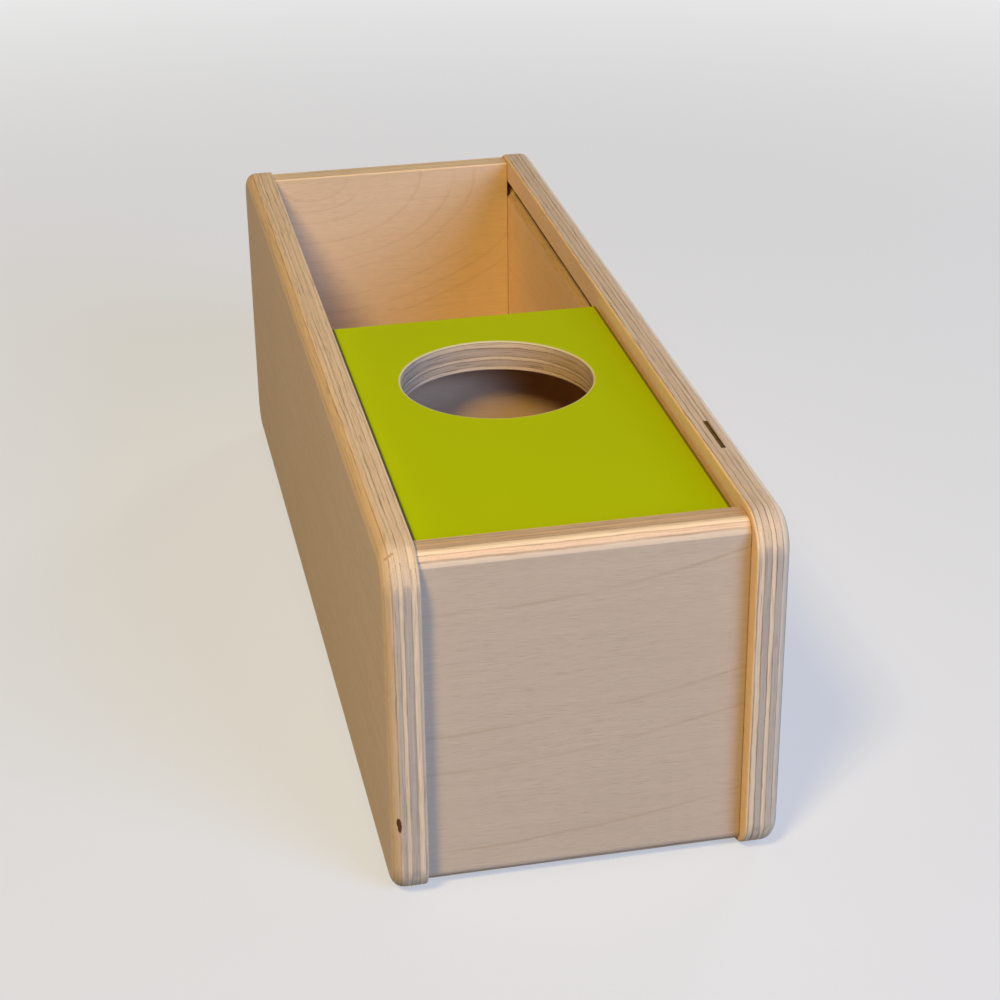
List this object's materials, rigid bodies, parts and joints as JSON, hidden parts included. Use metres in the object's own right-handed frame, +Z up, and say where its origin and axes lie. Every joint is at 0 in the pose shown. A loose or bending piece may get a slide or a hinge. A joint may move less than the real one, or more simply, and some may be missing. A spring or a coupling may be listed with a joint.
{
  "type": "object permanence box",
  "caption": "Long plywood toy box with a divider and a green sliding lid; a ball dropped through the lid's round hole stays hidden until the lid is slid back.",
  "frame": {"origin": "middle of the bottom: on the surface that the box stands on, midway between the sides and the ends", "axes": "+Z up, +Y along the box from its front end to its back end, the way the lid opens, and +X to the right seen from the front"},
  "size_m": [0.0996, 0.3, 0.096],
  "materials": {
    "birch_plywood": "sanded plywood, thin matt oil",
    "green_laminate": "satin",
    "beech": "turned, bare"
  },
  "bodies": {
    "box": {"left_side": "birch_plywood", "right_side": "birch_plywood", "front_end": "birch_plywood", "back_end": "birch_plywood", "divider": "birch_plywood", "floor_board": "birch_plywood", "front_dowels": "beech", "back_dowels": "beech", "divider_dowels": "beech"},
    "lid": {"lid_board": "birch_plywood", "lid_facing": "green_laminate"}
  },
  "joints": [
    {"name": "lid_slide", "type": "slide", "parent": "box", "child": "lid", "axis": [0, 1, 0], "range_m": [0, 0.13]}
  ]
}
